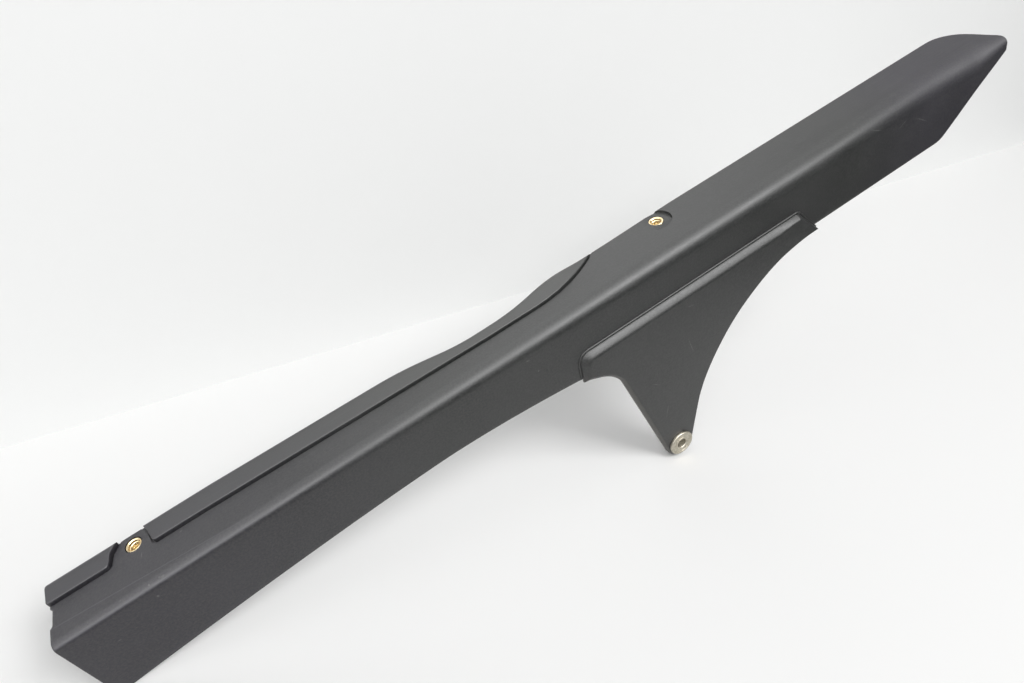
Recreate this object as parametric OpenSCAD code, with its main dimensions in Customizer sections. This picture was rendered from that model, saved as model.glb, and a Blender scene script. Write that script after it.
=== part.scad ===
/* [Guard] */
// Overall length, front end to tail tip
length = 598; // [560:0.5:660]
// Width of the top web, outer face to inner edge
top_width = 38.2; // [36:0.1:42]
// Wall thickness of the moulding
wall = 2.5; // [2:0.1:3]
// Outer radius of the ridge between top web and side wall
ridge_r = 5; // [4:0.5:8]
// Depth of the side wall at the front end
front_depth = 45; // [42:0.5:50]
// Depth of the side wall at its shallowest place
waist_depth = 35.4; // [33:0.1:38]
// Distance of that shallowest place from the front end
waist_x = 179; // [165:1:190]
// Depth of the side wall behind the drop arm
rear_depth = 42.5; // [40:0.5:46]
// Radius of the lower front corner
front_corner_r = 8; // [4:0.5:10]

/* [Tail] */
// Length of the slanted cut under the tail
tail_run = 55; // [40:0.5:60]
// Height of the side wall left at the tail tip
tail_nose = 8; // [6.5:0.5:14]
// Radius where the slanted cut meets the lower edge
tail_heel_r = 14; // [8:1:20]
// Plan radius of the inner tail corner
tail_inner_r = 22; // [12:1:24]
// Plan radius of the outer tail corner
tail_outer_r = 3; // [2:0.5:6]
// Set-back of the tail's inner corner from the tail tip
tail_skew = 7; // [0:0.5:10]

/* [Top web] */
// Width of the flat beside the ridge, measured from the outer face
ridge_flat = 10; // [9:0.5:12]
// Fall of the web from the ridge flat to the channel floor
channel_fall = 0.8; // [0.4:0.1:1.2]
// Set-back of the channel floor at the front end
channel_setback = 1; // [0.5:0.1:2]
// Distance of the inner edge notch from the front end
notch_x = 232.6; // [220:0.1:240]
// Length of the notch's long front flank
notch_run = 67.6; // [60:0.1:80]
// Length of its steeper rear flank
notch_back_run = 36.4; // [32:0.1:44]
// Depth of the notch where its two flanks would meet
notch_depth = 12; // [8:0.5:13]
// Radius at the bottom of the notch
notch_r = 60; // [40:5:80]
// Radius of the notch's front shoulder
notch_shoulder_r = 60; // [30:5:80]
// Set-back of the edge behind the notch, where the web is a little narrower
neck = 1.7; // [0.5:0.1:2.5]

/* [Raised strip] */
// Height of the strip above the channel floor
strip_rise = 2; // [1.5:0.1:2.5]
// Distance of the strip's outer edge from the side face
strip_edge = 20.8; // [19:0.1:23]
// Distance of the same edge at the very front
strip_front_edge = 23.7; // [21.5:0.1:24.5]
// Distance where the strip runs out at the inner edge
strip_end = 304; // [292:1:310]
// Length of the slope where the strip runs out
strip_slope = 33; // [30:1:40]
// Rounding of the strip's inner top edge
strip_round = 1.6; // [1:0.1:1.8]
// Width of the opening in the strip around the front insert
strip_gap = 16; // [15:0.5:19]
// Width of the fine groove at the foot of the strip
groove_w = 0.8; // [0.5:0.1:1.2]
// Depth of that groove
groove_d = 0.4; // [0.2:0.1:0.6]

/* [Drop arm] */
// Distance of the collar axis from the front end
collar_x = 314.8; // [305:0.1:325]
// Drop of the collar axis below the ridge
collar_drop = 138; // [125:0.5:145]
// Radius of the arm around the collar
tip_r = 10; // [9:0.5:12]
// Lean of the arm's front flank from the vertical
front_lean = 13; // [10:0.1:16]
// Lean of the arm's rear flank from the vertical
rear_lean = 18; // [15:0.5:22]
// Distance of the raised field's front edge from the front end
field_front = 265; // [260:1:270]
// Distance of the raised field's rear top corner from the front end
field_back = 422.5; // [412:0.5:430]
// Drop of the raised field's top edge below the ridge
field_top = 27; // [22:0.5:29]
// Drop of the arm's foot, where it leaves the side wall
field_foot = 44; // [43.5:0.5:48]
// Lean of the raised field's rear edge
field_lean = 36; // [25:1:40]
// Radius of the front fillet under the guard
front_fillet_r = 22; // [14:1:26]
// Radius of the long rear sweep under the guard
rear_sweep_r = 108; // [80:1:112]
// Height of the raised field above the side face
field_rise = 4; // [3.2:0.1:5]
// Rounding of the raised field's shoulder
shoulder_r = 3; // [2:0.1:3.1]
// Width of the fine bead round the foot of the raised field
bead_w = 0.9; // [0.5:0.1:1.5]
// Height of that bead
bead_h = 0.6; // [0.3:0.1:0.9]
// Reach of the tip boss behind the side face
boss_back = 6; // [4:0.5:8]
// Thickness of the ribs
rib = 2; // [1.5:0.1:2.5]

/* [Threaded inserts] */
// Distance of the front insert from the front end
insert_a_x = 40.2; // [38:0.1:44]
// Distance of the rear insert from the front end
insert_b_x = 347.9; // [340:0.1:356]
// Distance of the front insert's axis from the web's inner edge
insert_a_inset = 7.2; // [7:0.1:8]
// Distance of the rear insert's axis from the same line
insert_b_inset = 8.3; // [8:0.1:9]
// Outside diameter of an insert
insert_d = 8.3; // [7.5:0.1:8.6]
// Length of an insert
insert_l = 9; // [7:0.5:12]
// Diameter of the hole left for the thread
thread_hole_d = 5; // [4.2:0.1:5.2]
// Diameter of the countersink at the insert's mouth
mouth_d = 6.1; // [5.6:0.1:6.5]
// Depth of the two grooves round its body
waist_cut = 0.5; // [0.3:0.1:0.6]
// Width of those grooves
groove_keys = 1; // [0.6:0.1:1.4]
// Drop of the front insert's face below the channel floor
insert_a_sink = 0.3; // [0:0.1:0.5]
// Radius of the scooped seat round the rear insert
seat_r = 9; // [8:0.5:9]
// Depth of that seat on its tail side; it runs out on the front side
seat_d = 1.5; // [1:0.1:1.8]
// Outside radius of the bosses that hold the inserts
insert_boss_r = 6.8; // [6.5:0.1:7]
// Depth of those bosses below the ridge
insert_boss_l = 14; // [13:0.5:18]

/* [Collar] */
// Bore of the collar
collar_bore_d = 6.4; // [5.5:0.1:7]
// Outside diameter of the collar's sleeve
collar_sleeve_d = 10; // [9:0.1:11]
// Diameter of the collar's flange
collar_flange_d = 16.8; // [16:0.1:18]
// Thickness of the flange
collar_flange_t = 1.6; // [1.2:0.1:2.2]
// How far the sleeve stands out of the boss at the back
collar_proud = 0.5; // [0.2:0.1:1]
// Depth of the turned ring in the flange's face
ring_d = 0.35; // [0.2:0.05:0.5]
// Width of the raised rims on each side of that ring
rim_w = 1.4; // [1:0.1:1.8]
// Bevel round the flange
edge = 0.4; // [0.2:0.1:0.6]

/* [Hidden] */
$fn = 64;
// Radial clearance between a moulded hole and the metal part in it
seat_gap = 0.02;
// Overlap of solids that are one piece
join = 0.5;
// Offset that lets a rounding cross a face cleanly
blend = 0.03;
// Reach of the cutting tools beyond the part
over = 20;
web_z = -channel_fall;
under_z = web_z - wall;
strip_z = web_z + strip_rise;
collar_y = boss_back + collar_proud;
plain_depth = field_foot + over;
seat_z = web_z - seat_d / 2;
insert_a = [insert_a_x, top_width - insert_a_inset, web_z - insert_a_sink];
insert_b = [insert_b_x, top_width - insert_b_inset, seat_z];

function unit(v) = v / norm(v);
function xy(p) = [p[0], p[1]];
function bend(a, v, b) = (v[0] - a[0]) * (b[1] - v[1]) - (v[1] - a[1]) * (b[0] - v[0]);

// Closed outline through corners [x, y, radius], listed counterclockwise, with true arcs
module rounded(p) {
    n = len(p);
    function before(i) = xy(p[(i + n - 1) % n]);
    function after(i) = xy(p[(i + 1) % n]);
    function half(i) = acos(unit(before(i) - xy(p[i])) * unit(after(i) - xy(p[i]))) / 2;
    function centre(i) = xy(p[i]) + unit(unit(before(i) - xy(p[i])) + unit(after(i) - xy(p[i])))
        * p[i][2] / sin(half(i));
    function run(i) = p[i][2] / tan(half(i));
    difference() {
        union() {
            polygon([for (i = [0 : n - 1]) each p[i][2] == 0 ? [xy(p[i])] :
                [xy(p[i]) + unit(before(i) - xy(p[i])) * run(i),
                xy(p[i]) + unit(after(i) - xy(p[i])) * run(i)]]);
            for (i = [0 : n - 1])
                if (p[i][2] > 0 && bend(before(i), p[i], after(i)) > 0)
                    translate(centre(i)) circle(p[i][2]);
        }
        for (i = [0 : n - 1])
            if (p[i][2] > 0 && bend(before(i), p[i], after(i)) < 0)
                translate(centre(i)) circle(p[i][2], $fn = p[i][2] > 60 ? 360 : 96);
    }
}

// Swept along the guard: the outline's x is the distance inboard, its y the height
module along_x(x0, x1) {
    translate([x0, 0, 0]) rotate([90, 0, 90]) linear_extrude(x1 - x0) children();
}

// Swept across the guard: the outline's x runs along the guard, its y is the height
module along_y(y0, y1) {
    translate([0, y1, 0]) rotate([90, 0, 0]) linear_extrude(y1 - y0) children();
}

module along_z(z0, z1) {
    translate([0, 0, z0]) linear_extrude(z1 - z0) children();
}

// What rounding with radius r takes off a corner at the origin, the shape being in the first quadrant
module corner_waste(r) {
    difference() {
        translate([-over, -over]) square([r + over, r + over]);
        translate([r, r]) circle(r);
    }
}

// Cross section of top web and side wall
module section() {
    difference() {
        polygon([[0, -plain_depth], [top_width + over, -plain_depth], [top_width + over, web_z],
            [strip_edge, web_z], [ridge_flat, 0], [0, 0]]);
        mirror([0, 1]) corner_waste(ridge_r);
        difference() {
            translate([wall, -plain_depth - over])
                square([top_width + 2 * over, plain_depth + over + under_z]);
            translate([wall, under_z]) mirror([0, 1]) corner_waste(ridge_r - wall);
        }
    }
}

// Radius of an arc that is level at one end and falls by d over a length l
function sweep_r(l, d) = (l * l + d * d) / (2 * d);

// The side wall seen from outboard
module side_outline() {
    fall_a = front_depth - waist_depth;
    r_a = sweep_r(waist_x - front_corner_r, fall_a);
    r_b = sweep_r(field_front - waist_x, fall_a);
    difference() {
        rounded([[0, over, 0], [0, -front_depth, front_corner_r], [field_front + join, -front_depth, 0],
            [field_front + join, -rear_depth, 0], [length - tail_run, -rear_depth, tail_heel_r],
            [length, -tail_nose, 3], [length, over, 0]]);
        intersection() {
            translate([waist_x, -waist_depth - r_a]) circle(r_a, $fn = 1440);
            translate([-over, -front_depth - over]) square([waist_x + over, over + front_depth]);
        }
        intersection() {
            translate([waist_x, -waist_depth - r_b]) circle(r_b, $fn = 720);
            translate([waist_x - join, -front_depth - over])
                square([field_front - waist_x + join, over + front_depth]);
        }
    }
}

// The top web seen from above
module plan_outline() {
    neck_y = top_width - neck;
    rounded([[0, -blend, 0], [length, -blend, tail_outer_r], [length - tail_skew, top_width, tail_inner_r],
        [notch_x + 132, top_width, 200], [notch_x + 87, neck_y, 200],
        [notch_x + notch_back_run, neck_y - 1, 30], [notch_x, top_width - notch_depth, notch_r],
        [notch_x - notch_run, top_width - 1.9, notch_shoulder_r], [notch_x - notch_run - 70, top_width, 200],
        [0, top_width, 1.5]]);
}

// The raised strip seen from above, its edge moved outward by g
module strip_outline(g = 0) {
    gap_a = insert_a[0] - 0.42 * strip_gap;
    gap_b = gap_a + strip_gap;
    foot_a = gap_a - 4.5;
    lean = (gap_a - foot_a) / (insert_a[1] - strip_edge);
    front = (strip_front_edge - strip_edge) / foot_a;
    reach = top_width + over;
    rounded([[-over, strip_front_edge + front * over - g, 0], [foot_a + g, strip_edge - g, 3.5],
        [gap_a + lean * (reach - insert_a[1]) + g, reach, 0], [-over, reach, 0]]);
    rounded([[gap_b + 1.6 - g, strip_edge - g, 2.5], [strip_end - strip_slope, strip_edge - g, 90],
        [strip_end + g, strip_edge + 0.4 * strip_slope - g, 16], [strip_end + 8 + g, reach, 0],
        [gap_b - 3 - g, reach, 0]]);
}

module strip_section() {
    difference() {
        translate([strip_edge - over, web_z - join])
            square([top_width - strip_edge + over, strip_rise + join]);
        translate([top_width, strip_z]) rotate(180) corner_waste(strip_round);
    }
}

module strip() {
    intersection() {
        along_x(-over, length) strip_section();
        along_z(-over, over) intersection() {
            strip_outline();
            plan_outline();
        }
    }
}

// Where the arm's edges lie at a drop d, moved into the arm by i
function front_flank(d, i) = collar_x - (tip_r - i) / cos(front_lean) + tan(front_lean) * (d - collar_drop);
function rear_flank(d, i) = collar_x + (tip_r - i) / cos(rear_lean) - tan(rear_lean) * (d - collar_drop);
function back_edge(d, i) = field_back + tan(field_lean) * (d - field_top) - i / cos(field_lean);

// Drop arm and raised field seen from outboard, every edge moved inward by i, the rear edge outward by b
module arm_outline(i = 0, b = 0) {
    apex = (tip_r - i) / sin((front_lean + rear_lean) / 2);
    skew = (front_lean - rear_lean) / 2;
    top = field_top + i;
    foot = field_foot - i;
    front_foot = foot + 0.5;
    front_r = min(front_fillet_r,
        (front_flank(front_foot, 0) - field_front) / tan(45 - front_lean / 2) - 0.1);
    rear_r = min(rear_sweep_r, (back_edge(foot, 0) - rear_flank(foot, 0)) / tan(45 - rear_lean / 2) - 0.1);
    corner = max(0.5, shoulder_r - i);
    rounded([[field_front + i, -top, corner],
        [field_front + i, -front_foot, 0],
        [front_flank(front_foot, i), -front_foot, front_r + i],
        [collar_x + apex * sin(skew), -collar_drop - apex * cos(skew), tip_r - i],
        [rear_flank(foot, i), -foot, rear_r + i],
        [back_edge(foot, i) + b, -foot, 0],
        [back_edge(top, i) + b, -top, b > 0 ? 0 : corner]]);
}

// Drop arm and raised field as a solid slab, its shoulder rounded on three sides
module arm_slab() {
    intersection() {
        difference() {
            intersection() {
                along_y(-field_rise, join) arm_outline(0, over);
                along_x(0, length) difference() {
                    translate([-field_rise, -2 * collar_drop])
                        square([field_rise + over, 2 * collar_drop - field_top]);
                    translate([-field_rise, -field_top]) mirror([0, 1]) corner_waste(shoulder_r);
                }
            }
            along_z(-field_foot - over, over)
                translate([field_front, -field_rise - blend]) corner_waste(shoulder_r);
        }
        translate([field_back, 0, -field_top]) rotate([0, -field_lean, 0])
            along_z(-2 * collar_drop, 2 * collar_drop) difference() {
                translate([-length, -field_rise - over]) square([length, field_rise + 2 * over]);
                mirror([1, 0]) translate([0, -field_rise - blend]) corner_waste(shoulder_r);
            }
    }
}

// Fine bead round the foot of the raised field
module arm_bead() {
    along_y(-bead_h, join) arm_outline(-bead_w);
}

// Hollow behind the arm and its field, which keeps their wall even
module arm_coring() {
    along_y(wall - field_rise, over) arm_outline(wall);
}

// Round boss behind the tip and the rib that stiffens the arm
module arm_back() {
    translate([collar_x, wall - field_rise - join, -collar_drop]) rotate([-90, 0, 0])
        cylinder(r = tip_r, h = boss_back + field_rise - wall + join);
    translate([collar_x - rib / 2, wall - field_rise - join, -collar_drop])
        cube([rib, field_rise - wall + 2 * join, collar_drop - field_top - wall / 2]);
}

// Top web, side wall and raised strip
module shell() {
    difference() {
        intersection() {
            along_x(-over, length + over) section();
            along_y(-over, top_width + over) side_outline();
            along_z(-2 * front_depth, over) plan_outline();
        }
        // fine groove round the foot of the strip
        along_z(web_z - groove_d, over) strip_outline(groove_w);
    }
    strip();
}

// Boss under an insert, with a rib that ties it to the side wall
module insert_boss(at) {
    intersection() {
        translate([at[0], at[1], -insert_boss_l])
            cylinder(r = insert_boss_r, h = insert_boss_l + under_z + join);
        along_z(-2 * front_depth, over) plan_outline();
    }
    translate([at[0] - rib / 2, wall - join, -insert_boss_l])
        cube([rib, at[1] - wall - insert_boss_r + 2 * join, insert_boss_l + under_z + join]);
}

module guard_moulding() {
    color([0.16, 0.16, 0.165]) difference() {
        union() {
            difference() {
                shell();
                arm_coring();
                // the channel floor stops short of the front end
                translate([-over, ridge_flat + 2, -over])
                    cube([over + channel_setback, strip_front_edge - ridge_flat - 1.7, 2 * over]);
            }
            difference() {
                union() {
                    arm_slab();
                    arm_bead();
                }
                arm_coring();
            }
            arm_back();
            insert_boss(insert_a);
            insert_boss(insert_b);
        }
        for (at = [insert_a, insert_b])
            translate([at[0], at[1], -insert_boss_l - over])
                cylinder(d = insert_d + 2 * seat_gap, h = insert_boss_l + 2 * over);
        // scooped seat, tilted so that it runs out on the front side
        translate([insert_b[0], insert_b[1], seat_z + blend]) rotate([0, asin(seat_d / (2 * seat_r)), 0])
            cylinder(r = seat_r, h = over);
        translate([collar_x, -over, -collar_drop]) rotate([-90, 0, 0])
            cylinder(d = collar_sleeve_d + 2 * seat_gap, h = 2 * over);
    }
}

// Threaded insert with its face at the origin, open right through
module insert() {
    cone = (mouth_d - thread_hole_d) / 2;
    color([0.80, 0.62, 0.30]) difference() {
        translate([0, 0, -insert_l]) cylinder(d = insert_d, h = insert_l);
        translate([0, 0, -insert_l - 1]) cylinder(d = thread_hole_d, h = insert_l + 2);
        translate([0, 0, -cone]) cylinder(d1 = thread_hole_d, d2 = mouth_d + 2 * cone, h = 2 * cone);
        // two grooves that key the knurled body into the moulding
        for (z = [-insert_l * 0.4, -insert_l * 0.75]) translate([0, 0, z - groove_keys / 2]) difference() {
            cylinder(d = insert_d + 2, h = groove_keys);
            translate([0, 0, -1]) cylinder(d = insert_d - 2 * waist_cut, h = groove_keys + 2);
        }
    }
}

// Flanged collar with its back face at the origin and its bore along Y
module collar() {
    flange = -collar_y - field_rise;
    color([0.72, 0.70, 0.64]) rotate([90, 0, 0]) difference() {
        union() {
            cylinder(d = collar_sleeve_d, h = -flange + join);
            translate([0, 0, -flange]) cylinder(d = collar_flange_d, h = collar_flange_t - edge);
            translate([0, 0, -flange + collar_flange_t - edge])
                cylinder(d1 = collar_flange_d, d2 = collar_flange_d - 2 * edge, h = edge);
        }
        translate([0, 0, -1]) cylinder(d = collar_bore_d, h = -flange + collar_flange_t + 2);
        translate([0, 0, -flange + collar_flange_t - ring_d]) difference() {
            cylinder(d = collar_flange_d - 2 * rim_w, h = 1);
            translate([0, 0, -1]) cylinder(d = collar_bore_d + 2 * rim_w, h = 3);
        }
    }
}

// From the guard's drawing origin, on the ridge at the front end, to the collar's back face
module placed() {
    translate([-collar_x, -collar_y, collar_drop]) children();
}

placed() guard_moulding();
placed() translate(insert_a) insert();  // front_insert
placed() translate(insert_b) insert();  // rear_insert
collar();  // arm_collar
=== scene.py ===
import bpy
import bmesh
import math
import numpy as np
from mathutils import Matrix, Vector


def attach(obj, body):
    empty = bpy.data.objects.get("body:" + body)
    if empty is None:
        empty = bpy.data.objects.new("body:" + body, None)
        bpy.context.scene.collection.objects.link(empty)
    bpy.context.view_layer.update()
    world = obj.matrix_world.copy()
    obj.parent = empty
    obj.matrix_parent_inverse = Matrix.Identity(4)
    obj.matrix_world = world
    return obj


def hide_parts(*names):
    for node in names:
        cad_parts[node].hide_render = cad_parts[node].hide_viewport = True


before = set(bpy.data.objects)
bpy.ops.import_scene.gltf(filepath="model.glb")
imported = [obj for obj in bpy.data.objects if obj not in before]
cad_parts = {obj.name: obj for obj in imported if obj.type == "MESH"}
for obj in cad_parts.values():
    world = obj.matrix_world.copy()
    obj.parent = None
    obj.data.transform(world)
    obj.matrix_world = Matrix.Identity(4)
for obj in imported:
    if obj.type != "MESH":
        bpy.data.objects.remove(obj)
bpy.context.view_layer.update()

# The guard is drawn in millimetres from the front end of its ridge, as in its source:
# x runs to the tail, y inboard from the side wall's face, z up from the ridge.
MM = 0.001
COLLAR = np.array([314.8, 6.5, -138.0])

# side wall and top web
LENGTH, TOP_WIDTH, WALL = 598.0, 38.2, 2.5
WEB_Z, WEB_FLAT = -0.8, 20.8  # height of the web's floor, and the y from which it is flat
FRONT_DEPTH, WAIST_DEPTH, WAIST_RISE, ARM_DEPTH, REAR_DEPTH = 45.8, 36.3, 7.1, 43.6, 43.5
FRONT_ROUND, WAIST_X, REAR_X = 8, 182.0, 431
END_BREAK = 0.6  # the broken edge round both ends

# raised strip: top, outer edge's break, inner edge's radius, and the opening round the front insert
STRIP_Z, STRIP_BREAK, STRIP_EDGE_R = 1.2, 0.55, 3.4
GAP_FRONT, GAP_BACK = 33.5, 47.9
# foot of the strip's outer edge as [x, y, radius]: at the opening's front side, and along the rear length
FRONT_FOOT = [[GAP_FRONT - 4.9, 25.2, 2.5], [GAP_FRONT - 3.5, 32.3, 6]]
REAR_FOOT = [[GAP_BACK + 0.5, 32, 6], [GAP_BACK + 1.7, 24.2, 2], [73, 24, 200], [229, 20.3, 300],
             [281, 20.4, 80], [304, 33.4, 12]]

# inserts, the rear one's scooped seat, and the bores that hold the metal pieces
INSERTS = {"front_insert": (40.2, 31.0, -1.1), "rear_insert": (347.9, 29.9, -1.55)}
INSERT_R, INSERT_BORE, COLLAR_BORE = 4.15, 4.17, 5.02
SEAT_R, SEAT_DEEP, SEAT_RUN = 9.0, 2.0, 5.5  # radius, depth at its rear edge, start before the insert's axis
BOSS_TOP, BOSS_FOOT = -2.9, -14

# drop arm and raised field
TIP_R, FRONT_LEAN, REAR_LEAN = 10.0, 13.0, 19.2
FIELD_FRONT, FIELD_BACK, FIELD_TOP, FIELD_FOOT = 265.0, 422.5, 27.0, 44.0
FIELD_LEAN, FIELD_RISE = 36.0, 4.0
SHOULDER_R, EDGE_R, FLANK_R = 3.8, 0.8, 2.0
BEAD_R = 0.75


# ---------- shaping helpers ----------

def rounded(corners, closed=True, arc=9.0, step=6.0):
    """Points along an outline with corners [x, y, radius, steps on its arc, steps on the straight after it].

    The last two may be left out. Then arc is the degrees and step the length of a step.
    """
    n, out = len(corners), []
    P = [np.array(c[:2], float) for c in corners]
    for i, c in enumerate(corners):
        p, r = P[i], c[2]
        if not closed and i in (0, n - 1) or r <= 0:
            out.append([p])
            continue
        a, b = P[i - 1] - p, P[(i + 1) % n] - p
        a, b = a / np.linalg.norm(a), b / np.linalg.norm(b)
        half = math.acos(max(-1.0, min(1.0, float(a @ b)))) / 2
        mid = (a + b) / np.linalg.norm(a + b)
        centre = p + mid * r / math.sin(half)
        s, e = p + a * r / math.tan(half), p + b * r / math.tan(half)
        turn = math.pi - 2 * half
        k = c[3] if len(c) > 3 else max(2, math.ceil(math.degrees(turn) / arc))
        u, v = s - centre, e - centre
        a0 = math.atan2(u[1], u[0])
        d = (math.atan2(v[1], v[0]) - a0 + math.pi) % (2 * math.pi) - math.pi
        angles = [a0 + d * t / k for t in range(k + 1)]
        out.append([centre + r * np.array([math.cos(t), math.sin(t)]) for t in angles])
    pts = []
    for i, group in enumerate(out):
        pts += group
        if closed or i < n - 1:
            a, b = group[-1], out[(i + 1) % n][0]
            even = max(1, round(float(np.linalg.norm(b - a)) / step))
            gap = len(corners[i]) > 4 and corners[i][4] or even
            pts += [a + (b - a) * t / gap for t in range(1, gap)]
    return np.array(pts)


def smooth(t):
    """0 to 1 with soft ends."""
    t = np.clip(t, 0.0, 1.0)
    return t * t * (3 - 2 * t)


def arcs(cy, cz, ry, rz, a0, a1, n):
    a = np.radians(np.linspace(a0, a1, n))
    return np.stack([cy + ry * np.cos(a), cz + rz * np.sin(a)], 1)


def line(y0, z0, y1, z1, n):
    """n points between two ends, without the ends."""
    t = np.linspace(0, 1, n + 2)[1:-1, None]
    return np.array([y0, z0]) * (1 - t) + np.array([y1, z1]) * t


def inset(loop, d):
    a, b = np.roll(loop, 1, 0), np.roll(loop, -1, 0)
    t = b - a
    t /= np.maximum(np.linalg.norm(t, axis=1), 1e-9)[:, None]
    return loop + d * np.stack([t[:, 1], -t[:, 0]], 1)


def across_z(p, z):
    """An outline in plan at a height."""
    return np.c_[p, np.full(len(p), z)]


def across_y(p, y):
    """An outline in side view at a distance inboard, one for all points or one each."""
    return np.stack([p[:, 0], np.broadcast_to(np.ravel(y), len(p)), p[:, 1]], 1)


def to_row(points):
    """Points of the drawing in the row's frame, in metres."""
    return (np.asarray(points, float) - COLLAR) * MM


def mesh_of(name, verts, faces):
    """A mesh from points of the drawing."""
    me = bpy.data.meshes.new(name)
    me.from_pydata(to_row(verts).tolist(), [], faces)
    me.validate()
    bm = bmesh.new()
    bm.from_mesh(me)
    bmesh.ops.remove_doubles(bm, verts=bm.verts, dist=1e-8)
    bmesh.ops.recalc_face_normals(bm, faces=bm.faces)
    bmesh.ops.triangulate(bm, faces=[f for f in bm.faces if len(f.verts) > 4])
    bm.to_mesh(me)
    bm.free()
    return me


def stacked(name, rings, caps=True):
    """A closed body from rings of equal count."""
    n, verts = len(rings[0]), np.concatenate(rings)
    faces = [[k * n + i, k * n + (i + 1) % n, (k + 1) * n + (i + 1) % n, (k + 1) * n + i]
             for k in range(len(rings) - 1) for i in range(n)]
    if caps:
        faces += [list(range(n))[::-1], [(len(rings) - 1) * n + i for i in range(n)]]
    return mesh_of(name, verts, faces)


def turned(name, profile, axis_at, direction=(0, 0, 1), count=64, closed=False):
    """A body of revolution from [radius, height] points about a line; closed for a ring with a hole."""
    w = np.array(direction, float) / np.linalg.norm(direction)
    u = np.cross(w, [0.0, 1.0, 0.0] if abs(w[1]) < 0.9 else [1.0, 0.0, 0.0])
    u /= np.linalg.norm(u)
    v = np.cross(w, u)
    a = np.linspace(0, 2 * math.pi, count, endpoint=False)
    spokes = np.outer(np.cos(a), u) + np.outer(np.sin(a), v)
    rings = [np.array(axis_at) + r * spokes + h * w for r, h in profile]
    return stacked(name, rings + rings[:1] if closed else rings, not closed)


def linked(name, data):
    ob = bpy.data.objects.new(name, data)
    bpy.context.collection.objects.link(ob)
    return ob


def result_of(ob):
    """The plain mesh that an object's modifiers give."""
    bpy.context.view_layer.update()
    return bpy.data.meshes.new_from_object(ob.evaluated_get(bpy.context.evaluated_depsgraph_get()))


def cut(me, *tools):
    """The mesh less each tool."""
    ob = linked("work", me)
    made = [linked("tool", t) for t in tools]
    for tool in made:
        m = ob.modifiers.new("cut", "BOOLEAN")
        m.operation, m.solver, m.object = "DIFFERENCE", "EXACT", tool
    out = result_of(ob)
    for o in [ob, *made]:
        bpy.data.objects.remove(o)
    return out


def piece(name, meshes, material, angle=32):
    """One object from several closed meshes, smooth up to an angle in degrees."""
    bm = bmesh.new()
    for me in meshes:
        bm.from_mesh(me)
    me = bpy.data.meshes.new(name)
    bm.to_mesh(me)
    bm.free()
    me.materials.clear()
    me.materials.append(material)
    me.polygons.foreach_set("material_index", [0] * len(me.polygons))
    me.polygons.foreach_set("use_smooth", [True] * len(me.polygons))
    me.set_sharp_from_angle(angle=math.radians(angle))
    return linked(name, me)


# ---------- side wall and top web ----------

PLAN = rounded([[0, TOP_WIDTH, 0], [80, TOP_WIDTH, 200], [184, 35.4, 150], [217, 28.6, 90], [249, 28.9, 110],
                [275, 35.4, 80], [319.6, 36.3, 200], [364.6, 37.7, 200], [LENGTH - 7.2, 37.7, 21, 24],
                [LENGTH - 2.2, 10, 14, 6], [LENGTH - 1, 0, 0]],
               closed=False, arc=1.5, step=1.5)
TAIL = rounded([[300, -REAR_DEPTH, 0], [543, -REAR_DEPTH, 14, 12], [LENGTH, -7.5, 3, 8], [LENGTH, 0, 0]],
               closed=False, step=2)


def inner_edge(x):
    return np.interp(x, PLAN[:, 0], PLAN[:, 1])


def depth(x):
    """Height of the side wall: waisted in the middle, straight behind the field, cut back to the tail."""
    if x < WAIST_X:
        run = (WAIST_X - max(x, FRONT_ROUND)) / (WAIST_X - FRONT_ROUND)
        d = WAIST_DEPTH + (FRONT_DEPTH - WAIST_DEPTH) * run ** 1.6
        if x >= FRONT_ROUND:
            return d
        return d - FRONT_ROUND + math.sqrt(max(0.0, FRONT_ROUND ** 2 - (FRONT_ROUND - x) ** 2))
    if x < FIELD_FRONT:
        return WAIST_DEPTH + WAIST_RISE * ((x - WAIST_X) / (FIELD_FRONT - WAIST_X)) ** 1.65
    if x < REAR_X:
        return ARM_DEPTH
    return float(-np.interp(x, TAIL[:, 0], TAIL[:, 1]))


def ridge_r(x):
    """The ridge gets rounder toward the tail."""
    return float(np.interp(x, [0, 60, 200, 330, 480, 560, 596], [2.6, 3.2, 5.2, 6.6, 7.5, 9.0, 9.5]))


def crease(x):
    """Distance inboard of the crease beside the ridge, which runs out behind the front."""
    return float(np.interp(x, [0, 45, 97, 130], [10.8, 7.8, 3.0, 1.5]))


def web_top(y, x):
    """Height of the top web, before the ridge is rounded."""
    c = crease(x)
    return WEB_Z * np.clip((np.asarray(y, float) - c) / (WEB_FLAT - c), 0, 1)


def under_strip(x):
    """Where the raised strip makes the inner edge, the web stays a little behind it."""
    return float(smooth((35.5 - x) / 2) + smooth((x - 49.5) / 2) * smooth((304 - x) / 4))


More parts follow.
